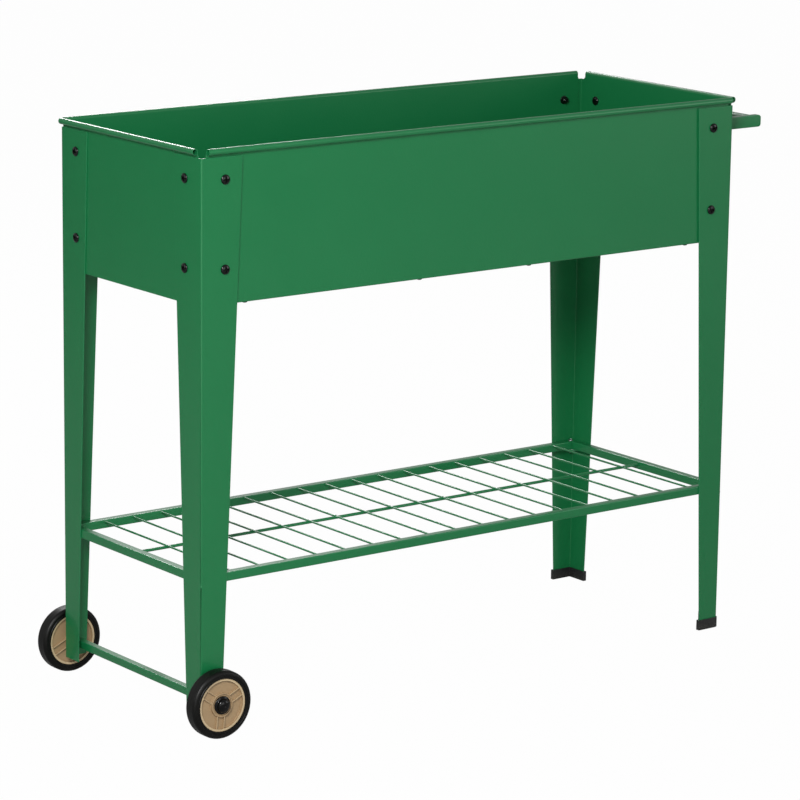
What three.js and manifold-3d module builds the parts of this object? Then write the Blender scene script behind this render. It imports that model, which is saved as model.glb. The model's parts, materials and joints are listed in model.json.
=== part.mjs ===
// Rolling planter: a narrow sheet-steel planting box on four tapered angle legs, with two wheels
// at one end, a handle and two rubber shoes at the other, and a wire shelf between the legs.
// Millimetres. +X runs from the wheels to the handle, -Y is the front, +Z is up, and the floor is z = 0.

import * as THREE from 'three';
import { mergeVertices } from 'three/addons/utils/BufferGeometryUtils.js';
import Module from 'manifold-3d';

const wasm = await Module();
wasm.setup();

// ---------------------------------------------------------------- driving dimensions

const clearance = 0.3;            // left between pieces that lie on, or pass through, each other
const overshoot = 1;              // how far a cutter runs past the surface it opens
const barSides = 10;              // facets round bolts and holes
const smallSides = 8;             // round wires and small holes
const axleSides = 16;             // round the axle, its holes and washers
const bendSteps = 3;              // facets round a sheet's bend

// Whole planter, measured over the legs
const planterLength = 934.6;
const planterWidth = 345.6;
const legTop = 790;
const boxDepth = 198.7;           // from the tops of the legs down to the underside of the box

// Legs: angle section, both flanges narrowing towards the floor
const legSheet = 1.5;
const legBendInside = 0.9;
const legTopFlange = 66.5;
const legFootFlange = 34.5;
const legBelowAxle = 20.8;        // how far a wheel-end leg runs on below the axle
const gussetSheet = 2;            // corner plate that the shelf is screwed down to
const gussetSize = 30;

// Shoes under the handle-end legs
const shoeWall = 2;
const shoeFloor = 2;
const shoeHeight = 15.5;
const shoeBendInside = 0.4;

// Box panels
const panelSheet = 0.8;
const panelBendInside = 0.8;
const panelFlange = 18;           // inward flange along the bottom
const curlDiameter = 8.8;         // rolled top edge
const curlGap = 3.6;              // between the leg tops and the curl's underside
const curlSweep = 305;            // degrees of roll
const curlSteps = 14;
const longPanelShort = 8.8;       // a long panel's wall stops this far inside the legs' outer faces
const longNotchSlope = 1.5;       // run of the slanted side of the notch at each end of its top edge
const endNotch = 8.1;             // an end panel's notch starts this far inside the legs' outer faces
const endNotchSlope = 3.2;
const endCurlEnd = 2.3;           // at its other end the top edge stops this far inside those faces
const returnMargin = 12;          // an end panel's side return runs this far past its bolts

// Floor of the box
const floorSheet = 0.8;
const floorMargin = 1.5;          // between the floor's edge and the walls
const drainHole = 8;              // diameter
const drainPitch = 150;
const drainRow = 80;              // drain rows lie this far off the middle

// Bolts that join legs and panels
const boltThread = 6;
const boltHead = 13.5;
const boltHeadHeight = 3.4;
const boltInset = 38;             // from the corner, on both flanges
const boltTopInset = 30;          // upper row, below the leg tops
const boltBottomInset = 48.2;     // lower row, above the underside of the box
const nutAcross = 10;
const nutHeight = 5;
const nutFlange = 13;
const nutFlangeHeight = 1.4;
const threadShow = 1.5;           // thread that shows past a nut

// Holes for the small screws in the floor of the box and in the shelf's corners
const smallThread = 4;
const floorScrewInset = 8;        // in from a panel's outer face
const floorScrewEnd = 68.5;       // in from a long panel's end
const floorScrewMid = 97;         // inner pair, each side of the middle

// Handle
const armHeight = 18;
const armThick = 10;
const armReach = 86;              // from the leg's outer face to the arm's tip
const armTipRadius = 4.5;
const armEdge = 1.5;              // rounding of the arm's long edges
const armDrop = 3;                // middle of the handle below the upper bolt row
const gripDiameter = 16;
const gripWall = 1.5;
const gripInset = 11.5;           // grip's axis, back from the arm tips
const handleScrewGrip = 16;       // length of thread inside an arm

// Shelf
const shelfTop = 222.7;
const railSize = 12.5;
const railWall = 1;
const railCorner = 1.5;
const wireDiameter = 3;
const wireDrop = 1;               // tops of the wires below the rails' top
const wirePitch = 48.5;
const wireShift = 3;              // the row of wires sits this far off the middle, to the handle end
const centreRodDiameter = 4.5;
const weldSink = 1.4;             // the rod is sunk this far into the wires where they are welded
const shelfScrewInset = 10;       // in from the end of a long rail

// Wheels and axle. A wheel's own axis is local Y, pointing away from the planter.
const hubRadius = 36.9;
const hubRimWall = 3.2;
const hubWidth = 19;
const webRecess = 3;              // outer face of the web below the rim's edge
const webThickness = 3;
const bossRadius = 17;
const bossWall = 2;
const bossRecess = 1.6;           // seat of the cap below the boss's edge
const sleeveRadius = 10;          // sleeve round the axle, on the inner side
const ribThickness = 1.5;
const ribSpacing = 11.5;          // between the two ribs of a spoke
const spokes = 3;
const tyreDepth = 10.4;           // from the hub's rim to the tread
const tyreWidth = 22;
const tyreShoulder = 5;
const wheelSegments = 32;
const axleDiameter = 8;
const axleInset = 17.2;           // axle in from the legs' end faces
const axleTubeSize = 11.5;
const axleTubeWall = 1.2;
const washerThickness = 2.4;
const washerDiameter = 18;
const sleeveReach = 3.4;          // sleeve past the tyre's inner side
const capBase = 25.6;
const capBaseHeight = 2.4;
const capNose = 19;
const capHeight = 9;
const capSocket = 6;

// ---------------------------------------------------------------- levels and faces that follow

const halfLength = planterLength / 2;
const halfWidth = planterWidth / 2;
const boxBottom = legTop - boxDepth;
const boltRows = [legTop - boltTopInset, boxBottom + boltBottomInset];
const boltHole = boltThread + 2 * clearance;
const screwHole = smallThread + 2 * clearance;
const axleHole = axleDiameter + 2 * clearance;

const endPanelFace = halfLength - legSheet - clearance;         // outer faces of the panels
const returnFace = halfWidth - legSheet - clearance;
const longPanelFace = returnFace - panelSheet - clearance;
const longPanelEnd = halfLength - longPanelShort;
const endPanelEdge = halfWidth - endNotch;
const endCurlReach = halfWidth - endCurlEnd;
const floorUnderside = boxBottom + panelSheet + clearance;
const floorScrewColumn = endPanelFace - floorScrewInset;
const floorScrewRow = -(longPanelFace - floorScrewInset);
const floorScrewPlaces = [
  ...[-1, 1].flatMap((side) => [-1, 1].flatMap((end) => [
    [end * (longPanelEnd - floorScrewEnd), side * floorScrewRow],
    [end * floorScrewMid, side * floorScrewRow],
  ])),
  [-floorScrewColumn, 0],
  [floorScrewColumn, 0],
];

const hubOutset = (tyreWidth - hubWidth) / 2;                   // rim's edge inside the tyre's side
const tyreRadius = hubRadius + clearance + tyreDepth;
const axleHeight = tyreRadius;
const axleX = -halfLength + axleInset;
const wheelInner = halfWidth + clearance + washerThickness + clearance + sleeveReach;
const capSeat = tyreWidth - hubOutset - bossRecess;
const axleEnd = wheelInner + capSeat + clearance + capSocket - clearance;

const railFaceX = endPanelFace;                                 // shelf rails against the legs
const railFaceY = returnFace;
const shelfUnderside = shelfTop - railSize;
const railMiddleY = railFaceY - railSize / 2;
const shelfScrewX = railFaceX - shelfScrewInset;

const handleHeight = boltRows[0] - armDrop;
const armMiddleY = halfWidth - boltInset;
const handleTip = halfLength + armReach;

// ---------------------------------------------------------------- shapes and solids

/** Points on an arc, from one angle to another in degrees. */
function arc(x, y, radius, from, to, steps) {
  const points = [];
  for (let i = 0; i <= steps; i += 1) {
    const angle = THREE.MathUtils.degToRad(from + ((to - from) * i) / steps);
    points.push(new THREE.Vector2(x + radius * Math.cos(angle), y + radius * Math.sin(angle)));
  }
  return points;
}

const point = (x, y) => new THREE.Vector2(x, y);

/** Corners of a round outline with so many sides. */
const round = (x, y, diameter, sides) => arc(x, y, diameter / 2, 0, 360, sides).slice(0, sides);

/** Closed outline of a bent sheet: along one face, and back along the other, on its left. */
function sheetShape(face, thickness) {
  const direction = (i) => face[i + 1].clone().sub(face[i]).normalize();
  const other = face.map((p, i) => {
    const before = direction(Math.max(i - 1, 0));
    const after = direction(Math.min(i, face.length - 2));
    const along = before.clone().add(after).normalize();
    const reach = thickness / along.dot(after);
    return point(p.x - along.y * reach, p.y + along.x * reach);
  });
  return new THREE.Shape([...face, ...other.reverse()]);
}

/** Rectangle with round corners, about the origin. */
function roundedRectangle(width, height, radius, steps) {
  const x = width / 2 - radius;
  const y = height / 2 - radius;
  return [
    ...arc(x, -y, radius, -90, 0, steps),
    ...arc(x, y, radius, 0, 90, steps),
    ...arc(-x, y, radius, 90, 180, steps),
    ...arc(-x, -y, radius, 180, 270, steps),
  ];
}

/** Turns an extrusion made along +Z towards +X, -Y or +Z, with its outline in y, z, in x, z or in x, y. */
const towards = {
  x: new THREE.Matrix4().set(0, 0, 1, 0, 1, 0, 0, 0, 0, 1, 0, 0, 0, 0, 0, 1),
  y: new THREE.Matrix4().set(1, 0, 0, 0, 0, 0, -1, 0, 0, 1, 0, 0, 0, 0, 0, 1),
  z: new THREE.Matrix4(),
};

/** Extrusion of an outline between two places on an axis. */
function extrude(axis, shape, from, to) {
  const outline = Array.isArray(shape) ? new THREE.Shape(shape) : shape;
  const geometry = new THREE.ExtrudeGeometry(outline, { depth: to - from, bevelEnabled: false });
  return closed(geometry.translate(0, 0, axis === 'y' ? -to : from).applyMatrix4(towards[axis]));
}

/** Round bar or cutter along an axis, between two places on it, its centre given as in an outline. */
function bar(axis, a, b, diameter, from, to, sides = barSides) {
  return extrude(axis, round(a, b, diameter, sides), from, to);
}

function revolve(profile, segments) {
  const points = profile.map(([radius, y]) => point(radius, y));
  return closed(new THREE.LatheGeometry(points, segments));
}

/** The same surface with shared corners, no collapsed triangles, and its faces pointing out. */
function closed(geometry) {
  const bare = new THREE.BufferGeometry();
  bare.setAttribute('position', geometry.getAttribute('position'));
  bare.setIndex(geometry.getIndex());
  const merged = mergeVertices(bare, 1e-3);
  const index = merged.getIndex().array;
  const corners = merged.getAttribute('position');
  const [a, b, c] = [new THREE.Vector3(), new THREE.Vector3(), new THREE.Vector3()];
  const triangles = [];
  let volume = 0;
  for (let i = 0; i < index.length; i += 3) {
    const [p, q, r] = index.slice(i, i + 3);
    if (p !== q && q !== r && r !== p) {
      triangles.push([p, q, r]);
      a.fromBufferAttribute(corners, p);
      b.fromBufferAttribute(corners, q);
      c.fromBufferAttribute(corners, r);
      volume += a.dot(b.cross(c));
    }
  }
  merged.setIndex(triangles.flatMap(([p, q, r]) => (volume < 0 ? [p, r, q] : [p, q, r])));
  return merged;
}

function toSolid(geometry) {
  const mesh = new wasm.Mesh({
    numProp: 3,
    vertProperties: new Float32Array(geometry.getAttribute('position').array),
    triVerts: new Uint32Array(geometry.getIndex().array),
  });
  return new wasm.Manifold(mesh);
}

function toGeometry(solid) {
  const mesh = solid.getMesh();
  const geometry = new THREE.BufferGeometry();
  geometry.setAttribute('position', new THREE.BufferAttribute(mesh.vertProperties, 3));
  geometry.setIndex(new THREE.BufferAttribute(mesh.triVerts, 1));
  return geometry;
}

/** One geometry with others joined to it and cut out of it. */
function combine(base, joined, cut) {
  let solid = toSolid(base);
  joined.forEach((geometry) => { solid = solid.add(toSolid(geometry)); });
  cut.forEach((geometry) => { solid = solid.subtract(toSolid(geometry)); });
  return toGeometry(solid);
}

/** A geometry mirrored into another corner, with its faces still pointing out. */
function mirrored(geometry, signX, signY) {
  return closed(geometry.clone().scale(signX, signY, 1));
}

// ---------------------------------------------------------------- finishes

const finishes = {
  paint: { color: '#2c734c', roughness: 0.42, metalness: 0.1 },
  blackScrew: { color: '#1b1a19', roughness: 0.45, metalness: 0.6 },
  zinc: { color: '#a9acae', roughness: 0.4, metalness: 0.9 },
  shoe: { color: '#161716', roughness: 0.7, metalness: 0 },
  tyre: { color: '#191b19', roughness: 0.75, metalness: 0 },
  hub: { color: '#a5896c', roughness: 0.5, metalness: 0 },
  cap: { color: '#101110', roughness: 0.15, metalness: 0 },
};

const planter = new THREE.Group();

function addPiece(parent, name, geometry, finish) {
  const material = new THREE.MeshStandardMaterial({ ...finishes[finish], flatShading: true });
  const piece = new THREE.Mesh(geometry, material);
  piece.name = name;
  parent.add(piece);
  return piece;
}

// ---------------------------------------------------------------- legs

/** Flange width of a leg at a height, between its foot and its top. */
function flangeWidth(height, foot) {
  return legFootFlange + ((legTopFlange - legFootFlange) * (height - foot)) / (legTop - foot);
}

/** Plan of an angle section whose outer corner is the origin and whose flanges run along +X and +Y. */
function angleSection(width, sheet, bendInside) {
  const bend = bendInside + sheet;
  const face = [point(0, width), ...arc(bend, bend, bend, 180, 270, bendSteps), point(width, 0)];
  return sheetShape(face, sheet);
}

/** A leg in the corner's own frame. Bolts pass through both flanges; the shelf gusset is welded in. */
function legGeometry(foot, hasAxle) {
  const blank = extrude('z', angleSection(legTopFlange, legSheet, legBendInside), foot, legTop);
  const past = legTopFlange + overshoot;
  const beyondTaper = [
    point(legTopFlange, legTop), point(past, legTop + overshoot), point(past, foot - overshoot),
    point(legFootFlange, foot - overshoot), point(legFootFlange, foot),
  ];
  const from = -overshoot;
  const to = legSheet + overshoot;
  const cut = [extrude('x', beyondTaper, from, to), extrude('y', beyondTaper, from, to)];
  boltRows.forEach((row) => {
    cut.push(bar('x', boltInset, row, boltHole, from, to));
    cut.push(bar('y', boltInset, row, boltHole, from, to));
  });
  if (hasAxle) {
    cut.push(bar('y', axleInset, axleHeight, axleHole, from, to, axleSides));
  }

  const gussetTop = shelfUnderside - clearance;
  const root = legSheet / 2;
  const plate = [point(root, root), point(gussetSize, root), point(root, gussetSize)];
  const gussetUnderside = gussetTop - gussetSheet;
  const gusset = extrude('z', plate, gussetUnderside, gussetTop);
  const screwX = halfLength - shelfScrewX;
  const screwY = halfWidth - railMiddleY;
  cut.push(bar('z', screwX, screwY, screwHole, gussetUnderside - overshoot, gussetTop + overshoot));
  return combine(blank, [gusset], cut);
}

/** A shoe round the foot of a leg, in the corner's own frame: an angle with a slot for the leg. */
function shoeGeometry() {
  const reach = clearance + shoeWall;
  const slotWidth = flangeWidth(shoeHeight, shoeFloor + clearance) + 2 * clearance;
  const bodyWidth = slotWidth + 2 * shoeWall;
  const body = extrude('z', angleSection(bodyWidth, legSheet + 2 * reach, shoeBendInside), 0, shoeHeight);
  const slot = angleSection(slotWidth, legSheet + 2 * clearance, 0);
  const slotCut = extrude('z', slot, shoeFloor, shoeHeight + overshoot);
  const inset = -reach;
  return combine(body.translate(inset, inset, 0), [], [slotCut.translate(-clearance, -clearance, 0)]);
}

function addLegs() {
  const wheelLeg = legGeometry(axleHeight - legBelowAxle, true);
  const handleLeg = legGeometry(shoeFloor + clearance, false);
  const shoe = shoeGeometry();
  [['front', 1], ['rear', -1]].forEach(([side, sideSign]) => {
    const y = -sideSign * halfWidth;
    const atWheels = addPiece(planter, `${side}_wheel_leg`, mirrored(wheelLeg, 1, sideSign), 'paint');
    atWheels.position.set(-halfLength, y, 0);
    const atHandle = addPiece(planter, `${side}_handle_leg`, mirrored(handleLeg, -1, sideSign), 'paint');
    atHandle.position.set(halfLength, y, 0);
    const foot = addPiece(planter, `${side}_shoe`, mirrored(shoe, -1, sideSign), 'shoe');
    foot.position.set(halfLength, y, 0);
  });
}

// ---------------------------------------------------------------- planting box

/** A panel in section: bottom flange, wall and rolled top edge. Outward is +x, up is +y. */
function panelSection(bottom, withFlange) {
  const bend = panelBendInside + panelSheet;
  const curlOutside = curlDiameter / 2;
  const curlInside = curlOutside - panelSheet;
  const curlHeight = legTop + curlGap + curlOutside;
  const foot = withFlange
    ? [point(-panelFlange, bottom), ...arc(-bend, bottom + bend, bend, -90, 0, bendSteps)]
    : [point(0, bottom)];
  const curl = arc(curlInside, curlHeight, curlInside, 180, 180 - curlSweep, curlSteps);
  return sheetShape([...foot, ...curl], panelSheet);
}

/** Notch that takes the top edge away towards the lower end, with a slanted side; in (across, z). */
function notchOutline(end, slope) {
  const above = legTop + curlGap + curlDiameter + overshoot;
  return [
    point(-end, legTop), point(-end + slope, legTop + curlGap), point(-end + slope, above),
    point(-end - overshoot, above), point(-end - overshoot, legTop),
  ];
}

/** A long panel at the front, its wall outwards to -Y, its top edge notched at both ends. */
function longPanelGeometry() {
  const turn = new THREE.Matrix4().makeRotationZ(-Math.PI / 2);
  const blank = extrude('y', panelSection(boxBottom, true), -longPanelEnd, longPanelEnd);
  const wall = blank.applyMatrix4(turn).translate(0, -longPanelFace, 0);

  const from = -longPanelFace - curlDiameter - overshoot;
  const to = -longPanelFace + panelSheet + overshoot;
  const cut = [];
  [-1, 1].forEach((end) => {
    const notch = notchOutline(longPanelEnd, longNotchSlope).map((p) => point(-end * p.x, p.y));
    cut.push(extrude('y', notch, from, to));
    boltRows.forEach((row) => {
      cut.push(bar('y', end * (halfLength - boltInset), row, boltHole, from, to));
    });
  });
  floorScrewPlaces.filter(([, y]) => y === floorScrewRow).forEach(([x, y]) => {
    cut.push(bar('z', x, y, screwHole, boxBottom - overshoot, boxBottom + panelSheet + overshoot));
  });
  return combine(wall, [], cut);
}

/** The wheel-end panel: a wall outwards to -X, a side return at each corner, and a notch at the front. */
function endPanelGeometry() {
  const bend = panelBendInside + panelSheet;
  const returnEnd = -halfLength + boltInset + returnMargin;
  const plan = [
    point(returnEnd, returnFace),
    ...arc(-endPanelFace + bend, returnFace - bend, bend, 90, 180, bendSteps),
    ...arc(-endPanelFace + bend, -returnFace + bend, bend, 180, 270, bendSteps),
    point(returnEnd, -returnFace),
  ];
  const wall = extrude('z', sheetShape(plan, panelSheet), boxBottom, legTop);

  const turn = new THREE.Matrix4().makeRotationZ(Math.PI);
  const formed = (section, from, to) => (
    extrude('y', section, -to, -from).applyMatrix4(turn).translate(-endPanelFace, 0, 0));
  const topEdge = formed(panelSection(legTop - panelFlange, false), -endPanelEdge, endPanelEdge);
  const lap = formed(panelSection(legTop, false), endPanelEdge - panelFlange, endCurlReach);
  const flangeEnd = longPanelFace - panelFlange - clearance;
  const flange = [
    point(-panelFlange, boxBottom), point(-panelSheet / 2, boxBottom),
    point(-panelSheet / 2, boxBottom + panelSheet), point(-panelFlange, boxBottom + panelSheet),
  ];
  const bottomFlange = formed(flange, -flangeEnd, flangeEnd);

  const outer = -endPanelFace - curlDiameter - overshoot;
  const inner = -endPanelFace + panelSheet + overshoot;
  const cut = [extrude('x', notchOutline(endPanelEdge, endNotchSlope), outer, inner)];
  [-1, 1].forEach((side) => boltRows.forEach((row) => {
    const face = side * returnFace;
    const reach = panelSheet + overshoot;
    cut.push(bar('x', side * armMiddleY, row, boltHole, outer, inner));
    cut.push(bar('y', -halfLength + boltInset, row, boltHole, face - reach, face + reach));
  }));
  const above = boxBottom + panelSheet + overshoot;
  cut.push(bar('z', -floorScrewColumn, 0, screwHole, boxBottom - overshoot, above));
  return combine(wall, [topEdge, lap, bottomFlange], cut);
}

/** Loose floor sheet on the four bottom flanges, with screw holes and two rows of drain holes. */
function floorGeometry() {
  const x = endPanelFace - panelSheet - floorMargin;
  const y = longPanelFace - panelSheet - floorMargin;
  const sheet = new THREE.Shape([point(-x, -y), point(x, -y), point(x, y), point(-x, y)]);
  floorScrewPlaces.forEach(([screwX, screwY]) => {
    sheet.holes.push(new THREE.Path(round(screwX, screwY, screwHole, smallSides)));
  });
  const drains = Math.floor((2 * x) / drainPitch);
  for (let i = 0; i < drains; i += 1) {
    const drainX = (i - (drains - 1) / 2) * drainPitch;
    [-drainRow, drainRow].forEach((drainY) => {
      sheet.holes.push(new THREE.Path(round(drainX, drainY, drainHole, smallSides)));
    });
  }
  return extrude('z', sheet, floorUnderside, floorUnderside + floorSheet);
}

function addBox() {
  const longPanel = longPanelGeometry();
  addPiece(planter, 'front_panel', longPanel, 'paint');
  addPiece(planter, 'rear_panel', longPanel, 'paint').rotation.z = Math.PI;
  const endPanel = endPanelGeometry();
  addPiece(planter, 'wheel_end_panel', endPanel, 'paint');
  addPiece(planter, 'handle_end_panel', endPanel, 'paint').rotation.z = Math.PI;
  addPiece(planter, 'floor_panel', floorGeometry(), 'paint');
}

// ---------------------------------------------------------------- bolts, screws and nuts

/** Pan head screw along +Y, the underside of its head at the origin. */
function screwGeometry(length) {
  const r = boltThread / 2;
  const R = boltHead / 2;
  return revolve([
    [0, -length], [r, -length], [r, 0], [R, 0], [R, 0.3 * boltHeadHeight],
    [0.72 * R, 0.82 * boltHeadHeight], [0, boltHeadHeight],
  ], barSides);
}

/** Hexagon nut with a round flange, along +Y from the origin; its bore's facets clear the thread. */
function nutGeometry() {
  const sixSided = (across, from, to) => bar('y', 0, 0, across / Math.cos(Math.PI / 6), from, to, 6);
  const hexagon = sixSided(nutAcross, 0, nutHeight);
  const rim = bar('y', 0, 0, nutFlange, 0, nutFlangeHeight, 12);
  const bore = sixSided(boltHole, -overshoot, nutHeight + overshoot);
  return combine(hexagon, [rim], [bore]);
}

/** Adds a piece made along +Y, turned to point along a direction from a place. */
function addPointing(name, geometry, finish, at, direction) {
  const piece = addPiece(planter, name, geometry, finish);
  piece.position.set(...at);
  piece.quaternion.setFromUnitVectors(new THREE.Vector3(0, 1, 0), new THREE.Vector3(...direction));
}

/** Four bolts and nuts a leg, except where the handle's screws take the place of the upper end ones. */
function addLegBolts() {
  const endStack = legSheet + panelSheet + 2 * clearance;
  const sideStack = endStack + panelSheet + clearance;
  const bolt = screwGeometry(clearance + sideStack + nutHeight + threadShow);
  const nut = nutGeometry();
  [['wheel', -1], ['handle', 1]].forEach(([end, endSign]) => {
    [['front', -1], ['rear', 1]].forEach(([side, sideSign]) => {
      boltRows.forEach((row, index) => {
        const level = index === 0 ? 'upper' : 'lower';
        const alongX = endSign * (halfLength - boltInset);
        const label = (piece, flange) => `${side}_${end}_leg_${piece}_${flange}_${level}`;
        const outside = sideSign * (halfWidth + clearance);
        const inside = sideSign * (halfWidth - sideStack);
        addPointing(label('bolt', 'side'), bolt, 'blackScrew', [alongX, outside, row], [0, sideSign, 0]);
        addPointing(label('nut', 'side'), nut, 'blackScrew', [alongX, inside, row], [0, -sideSign, 0]);
        if (end === 'handle' && level === 'upper') return;
        const acrossY = sideSign * armMiddleY;
        const outer = endSign * (halfLength + clearance);
        const inner = endSign * (halfLength - endStack);
        addPointing(label('bolt', 'end'), bolt, 'blackScrew', [outer, acrossY, row], [endSign, 0, 0]);
        addPointing(label('nut', 'end'), nut, 'blackScrew', [inner, acrossY, row], [-endSign, 0, 0]);
      });
    });
  });
}

function addHandleScrews() {
  const stack = panelSheet + legSheet + 3 * clearance;
  const screw = screwGeometry(stack + handleScrewGrip);
  const inside = endPanelFace - panelSheet - clearance;
  [['front', -1], ['rear', 1]].forEach(([side, sign]) => {
    const at = [inside, sign * armMiddleY, boltRows[0]];
    addPointing(`${side}_handle_screw`, screw, 'blackScrew', at, [-1, 0, 0]);
  });
}

// ---------------------------------------------------------------- handle

/** Arm of the handle along +X from the leg's face: rounded tip, tapped for the screw at its root. */
function armGeometry() {
  const root = clearance;
  const half = armHeight / 2;
  const tip = armReach;
  const side = [
    point(root, half), point(root, -half),
    ...arc(tip - armTipRadius, -half + armTipRadius, armTipRadius, -90, 0, bendSteps),
    ...arc(tip - armTipRadius, half - armTipRadius, armTipRadius, 0, 90, bendSteps),
  ];
  const flat = armThick / 2;
  const blank = extrude('y', side, -flat, flat);
  const section = roundedRectangle(armThick, armHeight, armEdge, 2);
  const rounded = extrude('x', section, root - overshoot, tip + overshoot);
  const depth = root + handleScrewGrip + clearance;
  const solid = toSolid(blank).intersect(toSolid(rounded));
  return combine(toGeometry(solid), [], [bar('x', 0, armDrop, boltHole, root - overshoot, depth)]);
}

function addHandle() {
  const arm = armGeometry();
  [['front', -1], ['rear', 1]].forEach(([side, sign]) => {
    const piece = addPiece(planter, `${side}_handle_arm`, arm, 'paint');
    piece.position.set(halfLength, sign * armMiddleY, handleHeight);
  });
  const half = armMiddleY - armThick / 2 - clearance;
  const ring = new THREE.Shape(round(0, 0, gripDiameter, 20));
  ring.holes.push(new THREE.Path(round(0, 0, gripDiameter - 2 * gripWall, 12)));
  const grip = addPiece(planter, 'handle_grip', extrude('y', ring, -half, half), 'paint');
  grip.position.set(handleTip - gripInset, 0, handleHeight);
}

// ---------------------------------------------------------------- shelf

/** Length of square tube, centred, open at its ends. */
function squareTube(axis, size, wall, corner, halfSpan) {
  const outline = new THREE.Shape(roundedRectangle(size, size, corner, 2));
  const bore = size / 2 - wall;
  outline.holes.push(new THREE.Path([
    point(-bore, -bore), point(bore, -bore), point(bore, bore), point(-bore, bore),
  ]));
  return extrude(axis, outline, -halfSpan, halfSpan);
}

function addShelf() {
  const railHeight = shelfTop - railSize / 2;
  const holes = [-1, 1].map((end) => bar('z', end * shelfScrewX, 0, screwHole, -railSize, railSize));
  const longRail = combine(squareTube('x', railSize, railWall, railCorner, railFaceX), [], holes);
  addPiece(planter, 'shelf_front_rail', longRail, 'paint').position.set(0, -railMiddleY, railHeight);
  addPiece(planter, 'shelf_rear_rail', longRail, 'paint').position.set(0, railMiddleY, railHeight);

  const innerY = railFaceY - railSize - clearance;
  const endRail = squareTube('y', railSize, railWall, railCorner, innerY);
  const endX = railFaceX - railSize / 2;
  addPiece(planter, 'shelf_wheel_end_rail', endRail, 'paint').position.set(-endX, 0, railHeight);
  addPiece(planter, 'shelf_handle_end_rail', endRail, 'paint').position.set(endX, 0, railHeight);

  addPiece(planter, 'shelf_wire_grid', wireGridGeometry(), 'paint');
}

/** Cross wires welded on top of one rod that runs the length of the shelf between the end rails. */
function wireGridGeometry() {
  const wireHeight = shelfTop - wireDrop - wireDiameter / 2;
  const rodHeight = wireHeight - (wireDiameter + centreRodDiameter) / 2 + weldSink;
  const bay = 2 * (railFaceX - railSize);
  const rodHalf = bay / 2 - clearance;
  const wireHalf = railFaceY - railSize - clearance;
  const wires = [];
  const count = Math.floor(bay / wirePitch);
  for (let i = 0; i < count; i += 1) {
    const x = (i - (count - 1) / 2) * wirePitch + wireShift;
    wires.push(bar('y', x, wireHeight, wireDiameter, -wireHalf, wireHalf, smallSides));
  }
  const rod = bar('x', 0, rodHeight, centreRodDiameter, -rodHalf, rodHalf, smallSides);
  return combine(rod, wires, []);
}

// ---------------------------------------------------------------- wheels and axle

/** Tyre, its inner side at y = 0. */
function tyreGeometry() {
  const bore = hubRadius + clearance;
  const shoulder = Math.min(tyreShoulder, 0.45 * tyreWidth, 0.8 * tyreDepth);
  const inner = arc(tyreRadius - shoulder, shoulder, shoulder, -90, 0, 4);
  const outer = arc(tyreRadius - shoulder, tyreWidth - shoulder, shoulder, 0, 90, 4);
  const tread = [...inner, ...outer].map((p) => [p.x, p.y]);
  return revolve([[bore, 0], ...tread, [bore, tyreWidth], [bore, 0]], wheelSegments);
}

/** Moulded hub: rim, recessed web, boss ring, a sleeve round the axle, and paired spoke ribs. */
function hubGeometry() {
  const rimOuter = tyreWidth - hubOutset;
  const rimInner = hubOutset;
  const rimBore = hubRadius - hubRimWall;
  const webOuter = rimOuter - webRecess;
  const webInner = webOuter - webThickness;
  const bore = axleHole / 2;
  const body = revolve([
    [bore, -sleeveReach], [sleeveRadius, -sleeveReach], [sleeveRadius, webInner],
    [rimBore, webInner], [rimBore, rimInner], [hubRadius, rimInner],
    [hubRadius, rimOuter], [rimBore, rimOuter], [rimBore, webOuter],
    [bossRadius, webOuter], [bossRadius, rimOuter], [bossRadius - bossWall, rimOuter],
    [bossRadius - bossWall, capSeat], [bore, capSeat], [bore, -sleeveReach],
  ], wheelSegments);

  const ribs = [];
  const addRib = (turn, across, from, to, low, high) => {
    const a = across - ribThickness / 2;
    const b = across + ribThickness / 2;
    const outline = [point(from, a), point(to, a), point(to, b), point(from, b)];
    ribs.push(extrude('y', outline, low, high).rotateY(turn));
  };
  const step = 0.5;
  for (let i = 0; i < spokes; i += 1) {
    const turn = -Math.PI / 2 + (i * 2 * Math.PI) / spokes;
    [-ribSpacing / 2, ribSpacing / 2].forEach((across) => {
      const reach = (radius) => Math.sqrt(Math.max(radius * radius - across * across, 1));
      const end = reach(rimBore + hubRimWall / 2);
      addRib(turn, across, reach(bossRadius - bossWall / 2), end, webOuter - step, rimOuter - step);
      addRib(turn, across, reach(sleeveRadius) - step, end, rimInner + step, webInner + step);
    });
  }
  return combine(body, ribs, []);
}

/** Push-on cap: broad base, domed nose, and a blind socket for the axle's end. */
function capGeometry() {
  const socket = axleHole / 2;
  const nose = capNose / 2;
  const rise = capHeight - capBaseHeight;
  const dome = [0, 30, 60].map((degrees) => {
    const angle = THREE.MathUtils.degToRad(degrees);
    return [nose * Math.cos(angle), capBaseHeight + 0.35 * rise + 0.65 * rise * Math.sin(angle)];
  });
  return revolve([
    [0, capSocket], [socket, capSocket], [socket, 0], [capBase / 2, 0],
    [capBase / 2, 0.6 * capBaseHeight], [capBase / 2 - 0.8, capBaseHeight], [nose, capBaseHeight],
    ...dome, [0, capHeight],
  ], 20);
}

function washerGeometry() {
  const ring = new THREE.Shape(round(0, 0, washerDiameter, axleSides));
  ring.holes.push(new THREE.Path(round(0, 0, axleHole, 12)));
  return extrude('y', ring, 0, washerThickness);
}

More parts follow.
